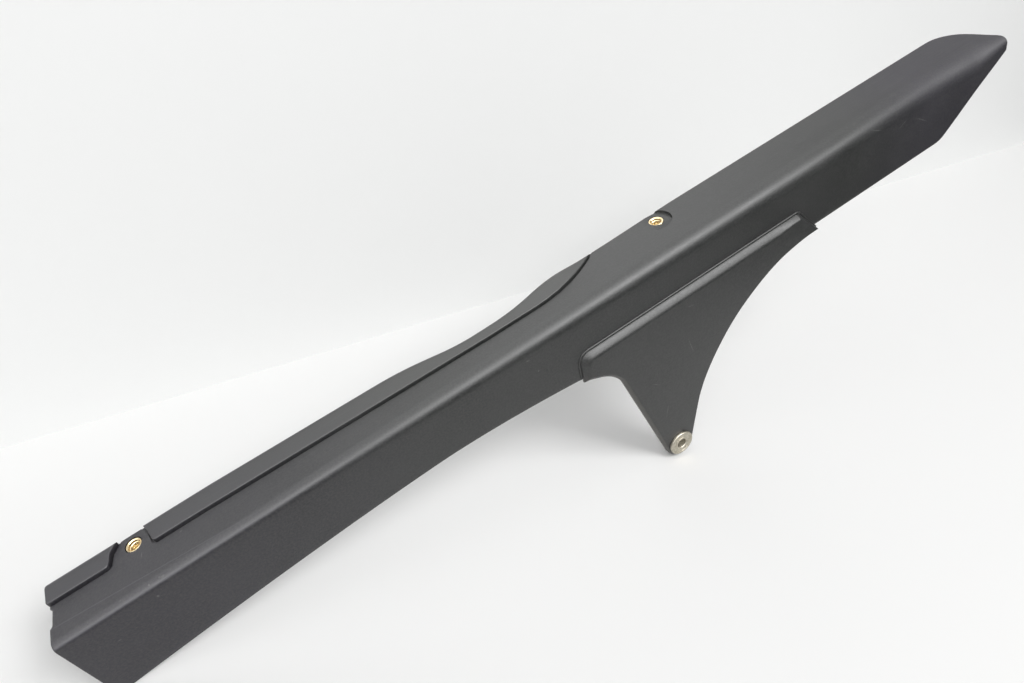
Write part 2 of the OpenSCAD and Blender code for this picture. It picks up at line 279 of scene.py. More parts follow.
def wall_section(x):
    """Cross section of side wall and top web as a loop of [y, z], always with the same count."""
    D, e = depth(x), 0.25
    slope = (inner_edge(x + e) - inner_edge(x - e)) / (2 * e)
    Y = float(inner_edge(x)) - 0.9 * under_strip(x)
    across = 1 / math.hypot(1, slope)
    wall = min(WALL, Y - 0.2)
    size = min(ridge_r(x), 0.45 * Y, 0.45 * D)
    ridge_y, ridge_z = min(1.45 * size, 0.5 * Y), min(1.3 * size, 0.5 * D)
    foot_r, back_r = 0.7, 0.6
    edge_y, edge_z = min(1.2 / max(across, 0.12), 0.4 * Y), 1.2

    # up the outside from the foot, over the ridge and along the web
    out = [arcs(foot_r, -D + foot_r, foot_r, foot_r, 270, 180, 4), line(0, -D + foot_r, 0, -ridge_z, 14)]
    ridge = arcs(ridge_y, -ridge_z, ridge_y, ridge_z, 180, 90, 14)
    ridge[:, 1] += web_top(ridge[:, 0], x)
    out.append(ridge)
    top = line(ridge_y, 0, Y - edge_y, 0, 22)
    top[:, 1] = web_top(top[:, 0], x)
    out.append(top)

    # round the inner edge
    z_edge = float(web_top(Y - edge_y, x))
    out.append(arcs(Y - edge_y, z_edge - edge_z, edge_y, edge_z, 90, 0, 7))
    z_under = z_edge - WALL
    fillet = max(1.6, 0.55 * ridge_y)
    y_fillet = min(wall + fillet, max(Y - 0.6, wall + 0.05))
    low = min(0.5, 0.5 * (Y - y_fillet))
    out.append(arcs(Y - low, z_under + low, low, low, 0, -90, 3))

    # back under the web, round the inner fillet and down the inside
    under = line(Y - low, z_under, y_fillet, z_under, 10)
    under[:, 1] = web_top(under[:, 0], x) - WALL
    out.append(under)
    z_fillet = float(web_top(y_fillet, x)) - WALL
    out.append(arcs(y_fillet, z_fillet - fillet, y_fillet - wall, fillet, 90, 180, 5))
    out.append(line(wall, z_fillet - fillet, wall, -D + back_r, 10))
    out.append(arcs(wall - back_r, -D + back_r, back_r, back_r, 0, -90, 3))
    return np.concatenate(out)


def shell():
    """Side wall and top web, lofted along the guard, with softly broken ends."""
    end = LENGTH - 1.6
    xs = np.unique(np.round(np.concatenate([
        np.linspace(END_BREAK, 8, 11), np.arange(10, 565, 2.5), np.arange(565, 588, 1.0),
        np.linspace(588, end - END_BREAK, 22)]), 3))
    rings = []

    def add(x, loop):
        # the front end is set back between the ridge and the strip
        back = smooth((loop[:, 0] - 11.4) / 0.9) * smooth((23.6 - loop[:, 0]) / 0.9) * smooth((5 - x) / 5)
        # the ridge runs a little inboard toward the tail, the foot of the wall stays
        along = 2.6 * smooth((x - 430) / 110) * smooth((590 - x) / 56)
        bend = along * smooth((24 - loop[:, 0]) / 18) * smooth((loop[:, 1] + 36) / 34)
        loop = np.c_[loop[:, 0] + bend, loop[:, 1]]
        droop = 0.3 * smooth((x - 568) / 34)
        rings.append(np.stack([x + back, loop[:, 0], loop[:, 1] - droop], 1))

    for k in range(3):
        a = math.radians(30 * k)
        add(END_BREAK * (1 - math.cos(a)), inset(wall_section(END_BREAK), END_BREAK * (1 - math.sin(a))))
    for x in xs:
        add(x, wall_section(x))
    last = end - END_BREAK
    for k in range(1, 4):
        a = math.radians(30 * k)
        add(last + END_BREAK * math.sin(a), inset(wall_section(last), END_BREAK * (1 - math.cos(a))))
    return stacked("shell", rings)


# ---------- the raised strip and its groove ----------

def strip_outlines():
    """Outlines of the strip's two lengths in plan."""
    front = [[-0.6, 25.4, 1.2], *FRONT_FOOT, [GAP_FRONT + 1.2, TOP_WIDTH, 1]]
    front += [[x, TOP_WIDTH, 0] for x in (27, 21, 16, 11, 7)] + [[-0.6, TOP_WIDTH, 4]]
    back = [[GAP_BACK - 1.7, TOP_WIDTH, 1], *REAR_FOOT, [306.4, float(inner_edge(306.4)), 0]]
    back += [[x, float(inner_edge(x)), 0] for x in np.arange(304, GAP_BACK + 4, -2.5)]
    return [rounded(c, arc=7, step=1.5) for c in (front, back)]


def strip_body(name, p):
    """A raised strip as sections across the guard: outer edge nearly sharp, inner edge rounded with the web's."""
    d = np.roll(p, -1, 0) - p

    def to_outline(q):
        t = np.clip(((q[:, None] - p) * d).sum(2) / (d ** 2).sum(1), 0, 1)
        return np.linalg.norm(p + t[..., None] * d - q[:, None], axis=2).min(1)

    def top(x, y):
        """Height over the strip, which tilts outboard a little and gets lower at its curved end."""
        u = STRIP_BREAK - np.minimum(to_outline(np.c_[np.full(len(y), x), y]), STRIP_BREAK)
        v = STRIP_EDGE_R - np.clip(inner_edge(x) - y, 0, STRIP_EDGE_R)
        outer = STRIP_Z - STRIP_BREAK + np.sqrt(STRIP_BREAK ** 2 - u ** 2)
        inner = STRIP_Z - STRIP_EDGE_R + np.sqrt(STRIP_EDGE_R ** 2 - v ** 2)
        return 0.04 * (y - 30) - smooth((x - 281) / 20) + np.minimum(outer, inner)

    # the outline in two halves from its front point to its rear point
    q = np.roll(p, -int(np.argmin(p[:, 0] + 1e-3 * p[:, 1])), 0)
    turn = int(np.argmax(q[:, 0]))
    low, high = q[:turn + 1], np.r_[q[turn:], q[:1]][::-1]
    x0, x1 = q[0, 0], q[turn, 0]

    # sections are close together where the ends are rounded
    soft = np.array([0.002, 0.02, 0.06, 0.12, 0.2, 0.3, 0.42, 0.56, 0.8, 1.2, 1.7])
    near = np.arange(2.2, min(12, 0.4 * (x1 - x0)), 0.35)
    far = np.arange(2.2, min(36, 0.5 * (x1 - x0)), 0.6)
    middle = np.arange(x0 + 12, x1 - 12, 2.0)
    xs = np.unique(np.round(np.concatenate([x0 + soft, x0 + near, middle, x1 - far, x1 - soft]), 4))

    base = WEB_Z - WALL + 0.02
    fine, finer = np.radians(np.linspace(0, 90, 7)), np.radians(np.linspace(0, 90, 13))
    rings = []
    for x in xs:
        y0, y1 = (float(np.interp(x, c[:, 0], c[:, 1])) for c in (low, high))
        w = max(y1 - y0, 0.004)
        rise = (np.interp(x + 0.1, low[:, 0], low[:, 1]) - np.interp(x - 0.1, low[:, 0], low[:, 1])) / 0.2
        wider = min(3.0, math.hypot(1, rise))
        head = y0 + min(STRIP_BREAK * wider, 0.4 * w) * (1 - np.cos(fine))
        tail = y1 - min(STRIP_EDGE_R, 0.55 * w) * (1 - np.cos(finer[::-1]))
        y = np.r_[head, np.linspace(head[-1], tail[0], 8)[1:-1], tail]
        e = min(0.4, 0.3 * w)
        y = np.r_[y0 + e, y0, y, y1, y1 - 0.3 * e, y1 - e]
        z = np.r_[base, base + 0.4, top(x, y[2:-3]), base + 0.4, base + 0.12, base]
        rings.append(np.c_[np.full(len(y), x), y, np.maximum(z, base)])
    return stacked(name, rings)


def foot_grooves(width=0.9, deep=0.9, under=0.3, top=3.0):
    """The narrow groove along each length's foot, as bodies to cut away."""
    front = [[-2, 25.4, 0], *FRONT_FOOT, [GAP_FRONT + 3.0, 40.4, 0]]
    back = [[GAP_BACK - 3.2, 40.4, 0], *REAR_FOOT, [308.8, 38.2, 0]]
    out = []
    for corners in (front, back):
        p = rounded(corners, closed=False, arc=7, step=2)
        t = np.gradient(p, axis=0)
        t /= np.linalg.norm(t, axis=1)[:, None]
        n = np.stack([t[:, 1], -t[:, 0]], 1)
        inner, outer, floor = p - under * n, p + width * n, WEB_Z - deep
        side = [(inner, floor), (inner, top), (outer, top), (outer, floor)]
        out.append(stacked("groove", [np.array([[*q[k], z] for q, z in side]) for k in range(len(p))]))
    return out


# ---------- the drop arm ----------

def arm_corners(i):
    """The source's arm outline, every edge moved inward by i, with the same points in each outline."""
    tf, tr, tl = (math.tan(math.radians(a)) for a in (FRONT_LEAN, REAR_LEAN, FIELD_LEAN))
    cf, cr, cl = (math.cos(math.radians(a)) for a in (FRONT_LEAN, REAR_LEAN, FIELD_LEAN))
    drop, top, foot = -COLLAR[2], FIELD_TOP + i, FIELD_FOOT - i
    front_foot = foot + 1.2
    tip = TIP_R - i

    def flank(d):
        return COLLAR[0] - tip / cf + tf * (d - drop)

    def rear(d):
        return COLLAR[0] + tip / cr - tr * (d - drop)

    def back(d):
        return FIELD_BACK + tl * (d - FIELD_TOP) - i / cl

    apex = tip / math.sin(math.radians((FRONT_LEAN + REAR_LEAN) / 2))
    skew = math.radians((FRONT_LEAN - REAR_LEAN) / 2)
    return [[FIELD_FRONT + i + 1.5, -top, max(0.4, 7 - i), 14, 3],
            [FIELD_FRONT + i, -front_foot, 0, 0, 1],
            [flank(front_foot + 2.6), -front_foot - 2.6, 23 + i, 18, 10],
            [COLLAR[0] + apex * math.sin(skew), -drop - apex * math.cos(skew), tip, 20, 4],
            [rear(foot), -foot, 103 + i, 40, 1],
            [back(foot), -foot, 0, 0, 5],
            [back(top), -top, max(0.4, 4 - i), 10, 28]]


def arm_ring(i):
    """The outline inset by i; the rear sweep is filled out a little between the field and the tip."""
    p = rounded(arm_corners(i))
    d = -p[:, 1]
    full = 2.0 * smooth((d - 38) / 20) * smooth((118 - d) / 44) * (p[:, 0] > 322)
    return p + full[:, None] * [0.8, -0.6]


def arm_body():
    """Drop arm and raised field: rounded shoulder above, softly broken edges below, hollow behind."""
    reach = 3.4
    base, hollow = arm_ring(0.0), arm_ring(WALL)
    inward, hollow_in = (arm_ring(reach) - base) / reach, arm_ring(WALL + 1) - hollow
    # full shoulder along the top, less on the front end, a small break round the arm below
    above = np.maximum(smooth((base[:, 1] + 44) / 14), 0.8 * smooth((FIELD_FRONT + 9 - base[:, 0]) / 8))
    below = EDGE_R + (FLANK_R - EDGE_R) * smooth((310 - base[:, 0]) / 10)
    r = (below + (SHOULDER_R - below) * above)[:, None]
    wide = (1 - 0.35 * smooth((base[:, 0] - 404) / 12))[:, None]
    # the shoulder starts steep beside the bead, runs slanted and rounds into the face
    turn = np.radians(np.interp(np.linspace(0, 1, 13), [0, 0.15, 0.7, 1], [25, 40, 54, 88]))
    over, rise = np.cumsum(np.sin(turn)), np.cumsum(np.cos(turn))
    over, rise = over / rise[-1], rise / rise[-1]

    floor, back = WALL - FIELD_RISE, 0.5
    rings = [across_y(hollow + hollow_in, floor), across_y(hollow + hollow_in * 0.3, floor + 0.3),
             across_y(hollow, floor + 1.0), across_y(hollow, back - 0.3), across_y(hollow - hollow_in * 0.3, back),
             across_y(base + inward * 0.4, back), across_y(base, back - 0.4), across_y(base, r - FIELD_RISE)]
    for o, h in zip(over, rise):
        rings.append(across_y(base + inward * r * wide * o, r * (1 - h) - FIELD_RISE))
    return stacked("arm", rings)


def arm_hollow_tool():
    return stacked("hollow", [across_y(arm_ring(WALL), y) for y in (-1.6, 8.0)])


def field_edge():
    """The path of the fine bead: round the raised field from its front foot over the top to its rear foot."""
    edge = arm_ring(-0.5)
    first = int(np.argmin(np.hypot(edge[:, 0] - FIELD_FRONT + 0.5, edge[:, 1] + FIELD_FOOT + 1.2)))
    loop = np.roll(edge, -first, 0)[::-1]
    stop = int(np.argmax((loop[:, 1] < -43.2) & (loop[:, 0] > 420)))
    pts = to_row(across_y(loop[:stop + 1], 0.05))
    me = bpy.data.meshes.new("bead_path")
    me.from_pydata(pts.tolist(), [(i, i + 1) for i in range(len(pts) - 1)], [])
    return me


# ---------- node trees that sweep and repeat ----------

def tree_for(name, sizes):
    tree = bpy.data.node_groups.new(name, "GeometryNodeTree")
    tree.interface.new_socket("Geometry", in_out="INPUT", socket_type="NodeSocketGeometry")
    for label, kind, value in sizes:
        s = tree.interface.new_socket(label, in_out="INPUT", socket_type=kind)
        s.default_value = value
    tree.interface.new_socket("Geometry", in_out="OUTPUT", socket_type="NodeSocketGeometry")
    return tree


def ended(tree, geometry, material):
    """The tree with its last nodes: instances made real, and the material set."""
    N, L = tree.nodes, tree.links
    real, mat, out = (N.new(kind) for kind in
                      ("GeometryNodeRealizeInstances", "GeometryNodeSetMaterial", "NodeGroupOutput"))
    mat.inputs["Material"].default_value = material
    L.new(geometry, real.inputs["Geometry"])
    L.new(real.outputs["Geometry"], mat.inputs["Geometry"])
    L.new(mat.outputs["Geometry"], out.inputs["Geometry"])
    return tree


def grown(name, me, tree, sizes):
    """Runs a node tree on a mesh and gives the plain mesh that comes out."""
    ob = linked(name, me)
    m = ob.modifiers.new("grow", "NODES")
    m.node_group = tree
    for s in tree.interface.items_tree:
        if s.in_out == "INPUT" and s.name in sizes:
            m[s.identifier] = sizes[s.name]
    out = result_of(ob)
    ob.modifiers.remove(m)
    bpy.data.objects.remove(ob)
    return out


def bead_tree(material):
    """A round bead along the object's own edges."""
    tree = tree_for("bead_on_path", [("Radius", "NodeSocketFloat", 0.0005), ("Sides", "NodeSocketInt", 10)])
    N, L = tree.nodes, tree.links
    sizes, path, ring, sweep = (N.new(kind) for kind in (
        "NodeGroupInput", "GeometryNodeMeshToCurve", "GeometryNodeCurvePrimitiveCircle", "GeometryNodeCurveToMesh"))
    sweep.inputs["Fill Caps"].default_value = True
    L.new(sizes.outputs["Geometry"], path.inputs["Mesh"])
    L.new(sizes.outputs["Radius"], ring.inputs["Radius"])
    L.new(sizes.outputs["Sides"], ring.inputs["Resolution"])
    L.new(path.outputs["Curve"], sweep.inputs["Curve"])
    L.new(ring.outputs["Curve"], sweep.inputs["Profile Curve"])
    return ended(tree, sweep.outputs["Mesh"], material)


def thread_tree(material):
    """A screw thread: a three-sided ridge swept up a helix, joined to the body it is run on."""
    tree = tree_for("inner_thread", [
        ("Radius", "NodeSocketFloat", 0.003), ("Turns", "NodeSocketFloat", 8.0), ("Height", "NodeSocketFloat", 0.008),
        ("Ridge", "NodeSocketFloat", 0.0005), ("Place", "NodeSocketVector", (0, 0, 0))])
    N, L = tree.nodes, tree.links
    sizes, coil, ridge, sweep, move, join = (N.new(kind) for kind in (
        "NodeGroupInput", "GeometryNodeCurveSpiral", "GeometryNodeCurvePrimitiveCircle", "GeometryNodeCurveToMesh",
        "GeometryNodeTransform", "GeometryNodeJoinGeometry"))
    coil.inputs["Resolution"].default_value = 48
    ridge.inputs["Resolution"].default_value = 3
    sweep.inputs["Fill Caps"].default_value = True
    for size, node, socket in (("Radius", coil, "Start Radius"), ("Radius", coil, "End Radius"),
                               ("Turns", coil, "Rotations"), ("Height", coil, "Height"), ("Ridge", ridge, "Radius"),
                               ("Place", move, "Translation"), ("Geometry", join, "Geometry")):
        L.new(sizes.outputs[size], node.inputs[socket])
    L.new(coil.outputs["Curve"], sweep.inputs["Curve"])
    L.new(ridge.outputs["Curve"], sweep.inputs["Profile Curve"])
    L.new(sweep.outputs["Mesh"], move.inputs["Geometry"])
    L.new(move.outputs["Geometry"], join.inputs["Geometry"])
    return ended(tree, join.outputs["Geometry"], material)


# ---------- materials ----------

class Nodes:
    """A shader tree in the making: each call adds one step and gives its output."""

    def __init__(self, tree):
        self.nodes, self.link = tree.nodes, tree.links.new

    def noise(self, vector, scale, detail=3, rough=0.5):
        x = self.nodes.new("ShaderNodeTexNoise")
        x.inputs["Scale"].default_value, x.inputs["Detail"].default_value = scale, detail
        x.inputs["Roughness"].default_value = rough
        self.link(vector, x.inputs["Vector"])
        return x.outputs["Fac"]

    def spread(self, value, a, b, c, d):
        """A value from a to b becomes c to d, and stays between them."""
        x = self.nodes.new("ShaderNodeMapRange")
        for key, v in zip(("From Min", "From Max", "To Min", "To Max"), (a, b, c, d)):
            x.inputs[key].default_value = v
        self.link(value, x.inputs["Value"])
        return x.outputs["Result"]

    def maths(self, op, a, b=None):
        x = self.nodes.new("ShaderNodeMath")
        x.operation = op
        for socket, v in zip(x.inputs, (a, b)):
            if isinstance(v, (int, float)):
                socket.default_value = v
            elif v is not None:
                self.link(v, socket)
        return x.outputs[0]

    def add(self, a, b):
        return self.maths("ADD", a, b)

    def times(self, a, b):
        return self.maths("MULTIPLY", a, b)

    def size_of(self, a):
        return self.maths("ABSOLUTE", a)

    def colour(self, fac, a, b):
        """A colour between a and b."""
        x = self.nodes.new("ShaderNodeMix")
        x.data_type = "RGBA"
        self.link(fac, x.inputs["Factor"])
        for i, v in ((6, a), (7, b)):
            if isinstance(v, tuple):
                x.inputs[i].default_value = (*v, 1)
            else:
                self.link(v, x.inputs[i])
        return x.outputs[2]

    def object_xyz(self):
        return self.nodes.new("ShaderNodeTexCoord").outputs["Object"]

    def split(self, vector):
        x = self.nodes.new("ShaderNodeSeparateXYZ")
        self.link(vector, x.inputs[0])
        return x.outputs

    def facing(self, vector, direction):
        x = self.nodes.new("ShaderNodeVectorMath")
        x.operation = "DOT_PRODUCT"
        x.inputs[1].default_value = direction
        self.link(vector, x.inputs[0])
        return x.outputs["Value"]

    def place(self, vector, at, turn, scale):
        """Object coordinates centred on a point of the drawing, turned, and scaled per millimetre."""
        x = self.nodes.new("ShaderNodeMapping")
        x.vector_type = "TEXTURE"
        x.inputs["Location"].default_value = to_row(at)
        x.inputs["Rotation"].default_value = [math.radians(a) for a in turn]
        x.inputs["Scale"].default_value = [s * MM for s in scale]
        self.link(vector, x.inputs["Vector"])
        return x.outputs["Vector"]

    def spot(self, vector, at, turn, size):
        """1 at a point of the drawing, falling to 0 at the given half sizes in millimetres."""
        x = self.nodes.new("ShaderNodeVectorMath")
        x.operation = "LENGTH"
        self.link(self.place(vector, at, turn, size), x.inputs[0])
        return self.spread(x.outputs["Value"], 0.3, 1.0, 1.0, 0.0)

    def bump(self, height, strength, distance, shader):
        x = self.nodes.new("ShaderNodeBump")
        x.inputs["Strength"].default_value, x.inputs["Distance"].default_value = strength, distance
        self.link(height, x.inputs["Height"])
        self.link(x.outputs["Normal"], shader.inputs["Normal"])


def finish(name, base, metallic, roughness):
    """A new material, its node tree and its shader."""
    m = bpy.data.materials.new(name)
    m.use_nodes = True
    shader = m.node_tree.nodes["Principled BSDF"]
    shader.inputs["Base Color"].default_value = (*base, 1)
    shader.inputs["Metallic"].default_value = metallic
    shader.inputs["Roughness"].default_value = roughness
    return m, Nodes(m.node_tree), shader


# Single marks on the plastic, each a place in the drawing, a turn in degrees and half sizes.
NICKS = [
    ((258, 0.4, -1), (0, 0, 35), (1.4, 0.7, 1.5)), ((42.9, 21.5, -0.8), (0, 0, 80), (2.2, 0.3, 1)),
    ((62, 21.1, -0.8), (0, 0, 20), (1.0, 0.6, 1)), ((50.1, 2.1, -0.8), (0, 0, 0), (1.3, 0.6, 1)),
    ((48.6, 2.6, -0.8), (0, 0, 60), (0.8, 0.4, 1)), ((43.6, 2.1, -0.8), (0, 0, 0), (0.6, 0.6, 1)),
    ((30.9, 3.1, -0.8), (0, 0, 0), (0.7, 0.7, 1)), ((43.4, 0, -7.2), (0, 0, 0), (0.7, 1, 0.9)),
    ((19.4, 0, -17.1), (0, 20, 0), (1.0, 1, 0.5)), ((239.7, 0, -9.5), (0, 15, 0), (1.5, 1, 0.5)),
    ((243.2, 0, -19.5), (0, 0, 0), (0.6, 1, 0.6)), ((525.6, 4.5, -0.8), (0, 0, 20), (3.0, 0.9, 1.5))]
SCRATCHES = [
    ((487, 1, -8), (0, 28, 0), (6, 6, 0.35)), ((509, 1, -15), (0, -20, 0), (5, 6, 0.3)),
    ((525, 1, -20), (0, 35, 0), (6, 6, 0.4)), ((334, -4, -66), (0, 80, 0), (7, 1, 0.25)),
    ((338, -4, -38), (0, 15, 0), (3, 1, 0.25)), ((310, -4, -104), (0, -70, 0), (6, 1, 0.25)),
    ((306, -4, -77), (0, 40, 0), (3.5, 1, 0.25))]
PITS = [
    ((346.9, 0, -6), (0, 15, 0), (1.5, 1, 0.8)), ((284.4, 0, -5.5), (0, -4, 0), (9, 1, 0.35)),
    ((247.6, 0, -22.2), (0, 0, 0), (0.7, 1, 0.7)), ((210, 0.2, -4.4), (0, 4, 0), (3, 1, 0.5))]


def moulded_plastic():
    """Satin black moulding: clouded and grained, rubbed on its raised parts, with single marks, and with painted light:
    lighter strip tops, painted highlights on the ridge's front and on the crease, and a paler painted forward side on
    the arm.
    """
    m, t, shader = finish("satin_black_moulding", (0.03, 0.03, 0.031), 0.0, 0.45)
    xyz = t.object_xyz()
    cloud = t.noise(xyz, 22, 4, 0.6)
    grain = t.noise(xyz, 900, 2, 0.6)
    fine = t.noise(xyz, 2600, 2, 0.5)
    streak = t.noise(t.place(xyz, (0, 0, 0), (0, 0, 0), (46, 0.8, 0.8)), 1.0, 3, 0.65)
    x, y, z = (t.add(t.times(s, 1000), float(c)) for s, c in zip(t.split(xyz), COLLAR))

    # black plastic, slightly cooler toward both ends, with a pale grain
    ends = t.add(t.spread(x, 40, 190, 1, 0), t.spread(x, 470, 530, 0, 1))
    clouded = t.spread(cloud, 0.3, 0.7, 0, 1)
    warm = t.colour(clouded, (0.018, 0.019, 0.0187), (0.0275, 0.0285, 0.028))
    cool = t.colour(clouded, (0.0155, 0.014, 0.0195), (0.024, 0.0225, 0.029))
    colour = t.colour(ends, warm, cool)
    colour = t.colour(t.spread(grain, 0.35, 0.75, 0, 0.6), colour, (0.052, 0.052, 0.051))

    # rubbed top of the raised strips, partly wear and partly painted light that lightens their tops, and fine rubbing
    # marks along the web
    raised = t.spread(z, 0.1, 0.9, 0, 0.75)
    colour = t.colour(raised, colour, t.colour(ends, (0.047, 0.048, 0.046), (0.042, 0.041, 0.046)))
    top = t.spread(z, -3, -1, 0, 1)
    marks = t.times(t.spread(streak, 0.55, 0.85, 0, 0.45), t.times(top, t.spread(cloud, 0.4, 0.65, 0.2, 1)))
    colour = t.colour(marks, colour, (0.085, 0.087, 0.086))

    # at the front the ridge is rubbed and carries a painted highlight, and the web's crease beside it carries a painted
    # highlight as a pale line
    front = t.times(t.spread(x, 20, 150, 1, 0.1), t.spread(streak, 0.3, 0.7, 0.5, 1.0))
    from_ridge = t.size_of(t.add(t.add(y, z), 0.9))
    ridge_wear_and_highlight = t.times(t.spread(from_ridge, 0.3, 1.3, 1, 0), front)
    from_crease = t.size_of(t.add(t.add(y, -10.8), t.times(x, 0.076)))
    crease_highlight = t.times(t.spread(from_crease, 0.15, 0.5, 0.5, 0), t.times(top, t.spread(x, 70, 100, 1, 0)))
    # painted highlight along the ridge's front and along the crease, mixed over the colour
    colour = t.colour(t.maths("MAXIMUM", ridge_wear_and_highlight, crease_highlight), colour, (0.075, 0.073, 0.082))

    # painted light: the arm's faces that turn forward and down are painted paler
    normal = t.nodes.new("ShaderNodeNewGeometry").outputs["Normal"]
    flank = t.times(t.spread(t.facing(normal, (-0.93, -0.3, -0.2)), 0.5, 0.9, 0, 0.8), t.spread(z, -46, -40, 1, 0))
    colour = t.colour(flank, colour, (0.066, 0.062, 0.055))

    for places, ink, strength in ((NICKS + SCRATCHES, (0.14, 0.14, 0.135), 0.5), (PITS, (0.007, 0.007, 0.007), 0.75)):
        total = t.spot(xyz, *places[0])
        for mark in places[1:]:
            total = t.maths("MAXIMUM", total, t.spot(xyz, *mark))
        fade = t.times(total, t.spread(grain, 0.3, 0.6, strength * 0.45, strength))
        colour = t.colour(fade, colour, ink)
    t.link(colour, shader.inputs["Base Color"])

    # smoother where it is rubbed, duller toward the tail
    rough = t.add(t.spread(cloud, 0.3, 0.7, 0.36, 0.44), t.spread(grain, 0.3, 0.7, -0.04, 0.05))
    rough = t.add(rough, t.times(raised, -0.05))
    rough = t.add(rough, t.times(top, t.spread(streak, 0.3, 0.7, -0.03, 0.05)))
    rough = t.add(rough, t.spread(x, 470, 590, 0, 0.2))
    t.link(rough, shader.inputs["Roughness"])
    t.bump(t.add(grain, fine), 0.5, 0.0001, shader)
    return m


def turned_metal(name, base, dark, roughness, at, axis):
    """Turned metal with fine rings about its own axis and dirt in its surface."""
    m, t, shader = finish(name, base, 1.0, roughness)
    xyz = t.object_xyz()
    own = t.split(t.place(xyz, at, (0, 0, 0), (1, 1, 1)))
    a, b = own[0], own[1 if axis == "z" else 2]
    radius = t.maths("SQRT", t.add(t.times(a, a), t.times(b, b)))
    combine = t.nodes.new("ShaderNodeCombineXYZ")
    t.link(radius, combine.inputs[0])
    rings = t.noise(combine.outputs[0], 7.0, 3, 0.7)
    dirt = t.noise(xyz, 700, 4, 0.6)
    t.link(t.colour(t.spread(dirt, 0.35, 0.75, 0, 0.7), base, dark), shader.inputs["Base Color"])
    dirty = t.spread(dirt, 0.3, 0.8, roughness - 0.05, roughness + 0.16)
    t.link(t.add(t.spread(rings, 0.3, 0.7, -0.07, 0.08), dirty), shader.inputs["Roughness"])
    t.bump(rings, 0.35, 0.00006, shader)
    return m


# ---------- pieces ----------

plastic = moulded_plastic()


def bar(x, y0, y1):
    """Outline of a rib 2 mm wide."""
    return rounded([[x - 1, y0, 0], [x + 1, y0, 0], [x + 1, y1, 0], [x - 1, y1, 0]], step=200)


def insert_boss(at):
    """Boss round an insert, with a rib to the side wall."""
    x, y, _ = at
    ring = turned("boss", [[INSERT_BORE, BOSS_FOOT], [INSERT_BORE, BOSS_TOP], [6.8, BOSS_TOP],
                           [6.8, BOSS_FOOT + 0.6], [6.2, BOSS_FOOT]], (x, y, 0), closed=True)
    rib = stacked("rib", [across_z(bar(x, 4, y - 5.2), z) for z in (BOSS_FOOT, BOSS_TOP)])
    return [ring, rib]


def tip_boss():
    """Boss round the collar behind the arm's tip, with the rib down the arm's middle."""
    ring = turned("tip_boss", [[COLLAR_BORE, -1.7], [COLLAR_BORE, 5.7], [5.3, 6.0], [8.0, 6.0], [8.6, 5.4], [10, -1.7]],
                  (COLLAR[0], 0, COLLAR[2]), (0, 1, 0), closed=True)
    rib = stacked("arm_rib", [across_y(bar(COLLAR[0], -128.6, -28.4), y) for y in (-2.0, 0.5)])
    return [ring, rib]


def seat_tool():
    """Body that scoops the rear insert's seat, tilted so that it runs out before the insert."""
    x, y, _ = INSERTS["rear_insert"]
    lean = math.atan(SEAT_DEEP / (SEAT_R + SEAT_RUN))
    return turned("seat", [[SEAT_R - 0.5, 0], [SEAT_R - 0.1, 0.2], [SEAT_R, 0.6], [SEAT_R + 0.1, 12]],
                  (x, y, WEB_Z - SEAT_DEEP * SEAT_RUN / (SEAT_R + SEAT_RUN)), (math.sin(lean), 0, math.cos(lean)))


def guard_body():
    holes = [turned("hole", [[INSERT_BORE, -20], [INSERT_BORE, 10]], (x, y, 0)) for x, y, _ in INSERTS.values()]
    web = cut(shell(), arm_hollow_tool(), *foot_grooves(), *holes, seat_tool())
    bore = turned("bore", [[COLLAR_BORE, -20], [COLLAR_BORE, 20]], (COLLAR[0], 0, COLLAR[2]), (0, 1, 0))
    meshes = [web, cut(arm_body(), bore), *(strip_body("strip", p) for p in strip_outlines())]
    for at in INSERTS.values():
        meshes += insert_boss(at)
    meshes += tip_boss()
    meshes.append(grown("bead", field_edge(), bead_tree(plastic), {"Radius": BEAD_R * MM, "Sides": 14}))
    return piece("moulded_guard", meshes, plastic)


guard = guard_body()
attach(guard, "root")
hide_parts("guard_moulding")


def brass_insert(node):
    x, y, z = INSERTS[node]
    brass = turned_metal(node + "_brass", (0.77, 0.64, 0.41), (0.36, 0.27, 0.13), 0.28, (x, y, 0), "z")
    bore, neck, R = 2.95, 3.65, INSERT_R
    rim = 3.85 if node == "front_insert" else R
    # chamfered mouth, rim, and two grooves round the outside that hold it in the plastic
    profile = [[bore, -9], [bore, -0.35], [3.3, -0.02], [rim - 0.2, 0], [rim, -0.2], [rim, -1.2],
               [R, -1.5], [R, -3.1], [neck, -3.2], [neck, -4.0], [R, -4.1],
               [R, -6.2], [neck, -6.3], [neck, -7.2], [R, -7.3], [R, -8.8], [3.95, -9]]
    body = turned("body", profile, (x, y, z), count=72, closed=True)
    thread = {"Radius": bore * MM, "Turns": 7.6, "Height": 0.0078, "Ridge": 0.0003,
              "Place": to_row([x, y, z - 8.6]).tolist()}
    ob = piece(node + "_turned", [grown("thread", body, thread_tree(brass), thread)], brass, 28)
    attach(ob, "root")
    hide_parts(node)


for node in INSERTS:
    brass_insert(node)


def flanged_collar():
    steel = turned_metal("collar_plated_steel", (0.56, 0.53, 0.45), (0.30, 0.27, 0.21), 0.46, COLLAR, "y")
    seat = -COLLAR[1] - FIELD_RISE  # the arm's face, on which the flange sits
    face, lip = seat - 1.25, seat - 1.6
    # bore, raised lip round it, dished flange, raised rim, and back down the sleeve
    profile = [[3.2, 0], [3.2, face], [3.55, lip], [4.45, lip], [4.6, seat - 1.5], [4.65, seat - 1.28], [4.85, face],
               [6.7, face], [6.9, seat - 1.3], [6.98, seat - 1.52], [7.15, lip], [7.95, lip], [8.2, seat - 1.5],
               [8.38, face], [8.4, seat - 0.3], [8.25, seat + 0.02], [5, seat + 0.02], [5, -0.3], [4.7, 0]]
    ob = piece("turned_collar", [turned("collar", profile, tuple(COLLAR), (0, 1, 0), 96, closed=True)], steel, 24)
    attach(ob, "root")
    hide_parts("arm_collar")


flanged_collar()


# ---------- camera, floor and light ----------

